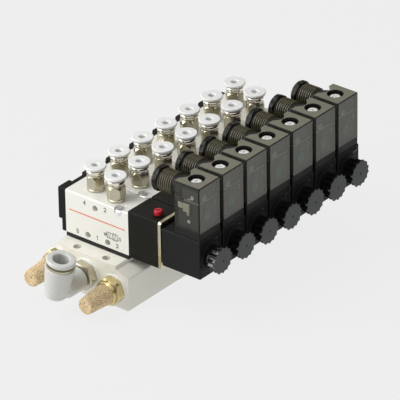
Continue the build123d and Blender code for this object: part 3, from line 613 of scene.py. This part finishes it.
# ------------------------------------------------------------------ end hexagons, silencers
def end_hex(z0, z1, flats, cap, r0, r1, k0, k1, head, tail, n=72):
    f = hexr(flats, cap)
    rows = head + [(z0, r0), (lambda t: (z0 + (f(t) - r0) * k0, f(t))), (lambda t: (z1 - (f(t) - r1) * k1, f(t))), (z1, r1)] + tail
    return lathe(rows, n)


stem = end_hex(1.4, 7.2, 17.0, 9.4, 8.3, 8.3, 0.35, 0.55, [(0.0, 5.0), (0.0, 5.7), (1.4, 5.7)], [(7.25, 7.6), (7.4, 7.2), (7.5, 5.0), (18.9, 5.0), (19.0, 4.8), (19.0, 3.2)])
Piece().add(*stem, 0, along_my(0, YE, SZ, math.radians(54))).put("elbow_hex", ["nickel"], nodes=["elbow_stem"], slot="nickel", angle=17)

sil = Piece()
sh = end_hex(1.4, 7.0, 17.0, 9.55, 8.35, 8.2, 0.3, 0.85, [(0.0, 5.0), (0.0, 5.7), (1.4, 5.7)],
             [(7.05, 7.3), (7.3, 7.15), (7.6, 7.35), (8.0, 7.75), (8.5, 7.92), (9.0, 7.75), (9.4, 7.35), (9.6, 6.95), (9.6, 6.4), (8.4, 6.4)])
for x, z in PORT_HEIGHT.items():
    sil.add(*sh, 0, along_my(x, YE, z, math.radians(49)))
sil.put("silencer_fittings", ["brass"], nodes=["silencer_bodies"], slot="brass", angle=17)


def grain(p, s):
    return noise.noise(Vector(p) * s)


el = Piece()
for x, z in PORT_HEIGHT.items():
    verts, faces = [], []
    n = 132
    prof = [(8.4 + 0.33 * j) for j in range(66)]
    prof = [a for a in prof if a < 27.7]
    rows = [(a, 6.85 + (5.5 - 6.85) * (a - 8.4) / 19.4) for a in prof]
    rows += [(27.9, 5.46), (28.25, 5.34), (28.5, 5.1), (28.62, 4.8)]
    rows += [(28.68, r) for r in (4.5, 4.15, 3.8, 3.45, 3.1, 2.75, 2.4, 2.05, 1.7, 1.35, 1.0, 0.65, 0.3)]
    for a, r in rows:
        for i in range(n):
            t = 2 * math.pi * i / n
            p = (r * math.cos(t), r * math.sin(t), a)
            q = (p[0] + 3 * x, p[1], p[2])
            d = 0.13 * grain(q, 1.3) + 0.22 * grain(q, 2.1) - 0.06
            tip = min(1.0, max(0.0, (a - 27.8) / 0.8))
            if r > 0.5:
                rs = (r + d * (1 - tip)) / r
            else:
                rs = 1.0
            verts.append((p[0] * rs, p[1] * rs, a + d * tip - 0.05 * tip))
    R = len(rows)
    for j in range(R - 1):
        for i in range(n):
            i2 = (i + 1) % n
            faces.append((j * n + i, j * n + i2, (j + 1) * n + i2, (j + 1) * n + i))
    faces.append(tuple((R - 1) * n + i for i in range(n)))
    el.add(verts, faces, 0, along_my(x, YE, z))
el.put("silencer_cores", ["bronze"], nodes=["silencer_elements"], slot="sintered_bronze", angle=80, weighted=False)

# ------------------------------------------------------------------ thin print on the supply-end face: numbers, a line and the valve's symbol
PR = Piece()
FY = Y0 - 0.012


def stroke(pts, w, m=0):
    """Flat ribbon through points (x, z) on the face."""
    for (x0, z0), (x1, z1) in zip(pts[:-1], pts[1:]):
        dx, dz = x1 - x0, z1 - z0
        L = math.hypot(dx, dz)
        ux, uz = dx / L, dz / L
        nx, nz = -uz * w / 2, ux * w / 2
        ex, ez = ux * w / 2, uz * w / 2
        q = [(x0 - ex + nx, z0 - ez + nz), (x0 - ex - nx, z0 - ez - nz), (x1 + ex - nx, z1 + ez - nz), (x1 + ex + nx, z1 + ez + nz)]
        PR.add([(a, FY, b) for a, b in q], [(0, 1, 2, 3)], m)


def arc(cx, cz, r, a0, a1, n=8, sx=1.0):
    return [(cx + sx * r * math.cos(math.radians(a0 + (a1 - a0) * i / n)), cz + r * math.sin(math.radians(a0 + (a1 - a0) * i / n))) for i in range(n + 1)]


def digit(d, cx, cz, h, w=0.34):
    """Plain numbers drawn from strokes, centred on (cx, cz)."""
    s = h / 2.6
    if d == 1:
        stroke([(cx - 0.5 * s, cz + 0.8 * s), (cx + 0.1 * s, cz + 1.3 * s), (cx + 0.1 * s, cz - 1.3 * s)], w)
    elif d == 2:
        stroke(arc(cx, cz + 0.55 * s, 0.75 * s, 165, -25, 9) + [(cx - 0.75 * s, cz - 1.3 * s), (cx + 0.8 * s, cz - 1.3 * s)], w)
    elif d == 3:
        stroke(arc(cx, cz + 0.65 * s, 0.65 * s, 160, -70, 8) + arc(cx, cz - 0.6 * s, 0.72 * s, 70, -160, 9), w)
    elif d == 4:
        stroke([(cx + 0.35 * s, cz - 1.3 * s), (cx + 0.35 * s, cz + 1.3 * s), (cx - 0.85 * s, cz - 0.45 * s), (cx + 0.85 * s, cz - 0.45 * s)], w)
    elif d == 5:
        stroke([(cx + 0.7 * s, cz + 1.3 * s), (cx - 0.55 * s, cz + 1.3 * s), (cx - 0.65 * s, cz + 0.15 * s)] + arc(cx - 0.02 * s, cz - 0.45 * s, 0.8 * s, 130, -150, 9), w)


stroke([(-22.8, 48.35), (21.1, 48.35)], 0.78, 1)
for d, x, z in ((4, -10.7, 57.0), (2, 5.9, 57.4), (5, -16.9, 34.9), (1, -0.9, 35.3), (3, 15.0, 35.0)):
    digit(d, x, z, 2.6, 0.46)
# five-port, two-position, single-solenoid symbol with spring return
sx0, sz0, bw, bh, t = 7.0, 38.5, 4.3, 4.0, 0.36
for i in range(2):
    a = sx0 + i * bw
    stroke([(a, sz0), (a + bw, sz0), (a + bw, sz0 + bh), (a, sz0 + bh), (a, sz0)], t)
stroke([(sx0 + 0.7, sz0), (sx0 + 1.1, sz0 + bh)], t)
stroke([(sx0 + 1.85, sz0), (sx0 + 2.7, sz0 + bh)], t)
stroke([(sx0 + 3.0, sz0), (sx0 + 3.0, sz0 + 0.8)], t)
stroke([(sx0 + bw + 0.7, sz0), (sx0 + bw + 0.7, sz0 + 0.8)], t)
stroke([(sx0 + bw + 1.85, sz0), (sx0 + bw + 1.0, sz0 + bh)], t)
stroke([(sx0 + bw + 3.0, sz0), (sx0 + bw + 2.6, sz0 + bh)], t)
for x in (0.7, 1.85, 3.0):
    stroke([(sx0 + bw + x, sz0), (sx0 + bw + x, sz0 - 0.9)], t)
for x in (1.0, 2.6):
    stroke([(sx0 + bw + x, sz0 + bh), (sx0 + bw + x, sz0 + bh + 0.9)], t)
stroke([(sx0, sz0 + 0.6), (sx0 - 0.5, sz0 + 2.9), (sx0 - 1.0, sz0 + 0.8), (sx0 - 1.5, sz0 + 2.9), (sx0 - 2.0, sz0 + 0.8), (sx0 - 2.5, sz0 + 2.9)], t)
stroke([(sx0 + 2 * bw, sz0 + 0.9), (sx0 + 2 * bw + 2.4, sz0 + 0.9), (sx0 + 2 * bw + 2.4, sz0 + 2.9), (sx0 + 2 * bw, sz0 + 2.9)], t)
stroke([(sx0 + 2 * bw + 0.6, sz0 + 0.9), (sx0 + 2 * bw + 1.8, sz0 + 2.9)], t)
PR.put("face_print", ["print_black", "print_red"], slot="body_paint", weighted=False)

# ------------------------------------------------------------------ CAD nodes that keep their shape
for k in range(STATIONS):
    # near-black red floor in the slot of each override button: painted shade
    Piece().add(*rbox(-2.4, 2.4, -0.43, 0.43, 65.05, 66.2, 0.1, 1), 0,
                Matrix.Translation((42.0, Y0 + 8.0 + PITCH * k, 0)) @ Matrix.Rotation(math.radians(38), 4, "Z")).put(
        f"button_slot_{k + 1}", ["red_slot_painted_shade"], body=f"button_{k + 1}", slot="button_red")

LOOK = {
    "manifold_base": "paint_base", "station_gaskets": "rubber", "valve_bodies": "paint_white", "valve_screws": "zinc",
    "spring_end_caps": "black_satin", "end_screws": "zinc", "valve_springs": "steel", "pilot_blocks": "black_satin",
    "pole_plates": "plate", "armature_tubes": "steel", "armatures": "steel", "terminal_blades": "nickel",
    "connector_gaskets": "rubber", "connector_bases": "black_base", "connector_boards": "board",
    "gland_seals": "seal", "fitting_seals_and_grips": "steel", "elbow_collar_and_grip": "nickel", "elbow_tube_seal": "seal",
    "port_washers": "ptfe", "end_plugs": "nickel",
}
for k in range(1, STATIONS + 1):
    LOOK[f"spool_{k}"] = "steel"
    LOOK[f"override_button_{k}"] = "red"
for name, m in LOOK.items():
    for s in N[name].material_slots:
        s.material = M[m]
replaced = {"connector_screws": "zinc_deep", "fitting_bodies": "nickel", "connector_housings": "smoke", "gland_nuts": "black_gland", "solenoid_coils": "black_coil",
            "coil_nuts": "black_gloss", "elbow_body": "elbow_grey", "elbow_release_ring": "elbow_grey", "elbow_stem": "nickel",
            "silencer_bodies": "brass", "silencer_elements": "bronze"}
for nm in "ab":
    for k in range(1, STATIONS + 1):
        replaced[f"release_ring_{nm}{k}"] = "ring_white"
for name, m in replaced.items():
    for s in N[name].material_slots:
        s.material = M[m]

# ------------------------------------------------------------------ camera
T = Vector((23.8, -10.0, 45.9))
az, elv, roll = math.radians(39.43), math.radians(29.13), math.radians(-0.99)
back = Vector((math.sin(az) * math.cos(elv), -math.cos(az) * math.cos(elv), math.sin(elv)))
right = Vector((math.cos(az), math.sin(az), 0))
up = back.cross(right)
rr = right * math.cos(roll) + up * math.sin(roll)
uu = -right * math.sin(roll) + up * math.cos(roll)
loc = (T + back * 3000.0) * MM
cam = bpy.data.cameras.new("camera")
cam.lens, cam.sensor_width, cam.sensor_fit = 432.0, 36.0, "HORIZONTAL"
cam.shift_x, cam.shift_y = (200 - 199.27) / 400, (191.07 - 200) / 400
cam.clip_start, cam.clip_end = 0.1, 100.0
cam.dof.use_dof = False
co = bpy.data.objects.new("camera", cam)
COLL.objects.link(co)
co.matrix_world = Matrix(((rr.x, uu.x, back.x, loc.x), (rr.y, uu.y, back.y, loc.y), (rr.z, uu.z, back.z, loc.z), (0, 0, 0, 1)))
bpy.context.scene.camera = co
bpy.context.scene.view_settings.view_transform = "Standard"
bpy.context.scene.view_settings.look = "None"

# ------------------------------------------------------------------ floor, sky and lights
PALE = 0.863
fm = bpy.data.materials.new("floor_pale")
fm.use_nodes = True
nt = fm.node_tree
nt.nodes.clear()
out = nt.nodes.new("ShaderNodeOutputMaterial")
em = nt.nodes.new("ShaderNodeEmission")
em.inputs["Color"].default_value = (PALE, PALE, PALE, 1)
em.inputs["Strength"].default_value = 0.935
df = nt.nodes.new("ShaderNodeBsdfDiffuse")
df.inputs["Color"].default_value = (0.055, 0.055, 0.055, 1)
ad = nt.nodes.new("ShaderNodeAddShader")
nt.links.new(em.outputs[0], ad.inputs[0])
nt.links.new(df.outputs[0], ad.inputs[1])
nt.links.new(ad.outputs[0], out.inputs["Surface"])
fl = bpy.data.meshes.new("floor")
S = 30.0
fl.from_pydata([(-S, -S, -0.0002), (S, -S, -0.0002), (S, S, -0.0002), (-S, S, -0.0002)], [], [(0, 1, 2, 3)])
fl.materials.append(fm)
fo = bpy.data.objects.new("floor", fl)
COLL.objects.link(fo)

w = bpy.data.worlds.new("sky")
bpy.context.scene.world = w
w.use_nodes = True
nt = w.node_tree
nt.nodes.clear()
nd, ln = nt.nodes, nt.links
wo = nd.new("ShaderNodeOutputWorld")
lp = nd.new("ShaderNodeLightPath")
tc = nd.new("ShaderNodeTexCoord")
sep = nd.new("ShaderNodeSeparateXYZ")
ln.new(tc.outputs["Generated"], sep.inputs[0])


def wmath(op, a, b=None, c=None):
    m = nd.new("ShaderNodeMath")
    m.operation = op
    for i, v in enumerate((a, b, c)):
        if v is None:
            continue
        if isinstance(v, (int, float)):
            m.inputs[i].default_value = v
        else:
            ln.new(v, m.inputs[i])
    return m.outputs[0]


def wstep(v, lo, hi):
    m = nd.new("ShaderNodeMapRange")
    m.interpolation_type = "SMOOTHSTEP"
    m.inputs["From Min"].default_value = lo
    m.inputs["From Max"].default_value = hi
    ln.new(v, m.inputs["Value"])
    return m.outputs["Result"]


side = wmath("ADD", wmath("MULTIPLY", sep.outputs["X"], -0.75), wmath("MULTIPLY", sep.outputs["Y"], -0.45))
left = wstep(side, 0.1, 0.6)
top = wstep(sep.outputs["Z"], 0.42, 0.72)
bright = wmath("MAXIMUM", left, top)
glossy = nd.new("ShaderNodeMix")
glossy.data_type = "RGBA"
ln.new(bright, glossy.inputs[0])
glossy.inputs[6].default_value = (0.16, 0.145, 0.105, 1)
glossy.inputs[7].default_value = (1.15, 1.15, 1.12, 1)
m1 = nd.new("ShaderNodeMix")
m1.data_type = "RGBA"
ln.new(lp.outputs["Is Glossy Ray"], m1.inputs[0])
m1.inputs[6].default_value = (0.455, 0.455, 0.455, 1)
ln.new(glossy.outputs[2], m1.inputs[7])
m2 = nd.new("ShaderNodeMix")
m2.data_type = "RGBA"
ln.new(lp.outputs["Is Camera Ray"], m2.inputs[0])
ln.new(m1.outputs[2], m2.inputs[6])
m2.inputs[7].default_value = (PALE, PALE, PALE, 1)
bg = nd.new("ShaderNodeBackground")
ln.new(m2.outputs[2], bg.inputs["Color"])
ln.new(bg.outputs[0], wo.inputs["Surface"])


def area(name, at, to, size, watts, color=(1, 1, 1)):
    l = bpy.data.lights.new(name, "AREA")
    l.shape, l.size, l.energy, l.color = "SQUARE", size, watts, color
    o = bpy.data.objects.new(name, l)
    COLL.objects.link(o)
    d = Vector(to) - Vector(at)
    o.matrix_world = Matrix.Translation(at) @ d.to_track_quat("-Z", "Y").to_matrix().to_4x4()
    return o


area("key", (-0.42, -0.62, 1.15), (0.02, 0.0, 0.03), 0.75, 9.6)
area("left_front", (-0.75, -0.75, 0.35), (0.0, -0.02, 0.04), 0.5, 2.0)
area("strip", (-0.45, -0.68, 0.395), (0.05, 0.0, 0.088), 0.26, 1.3)
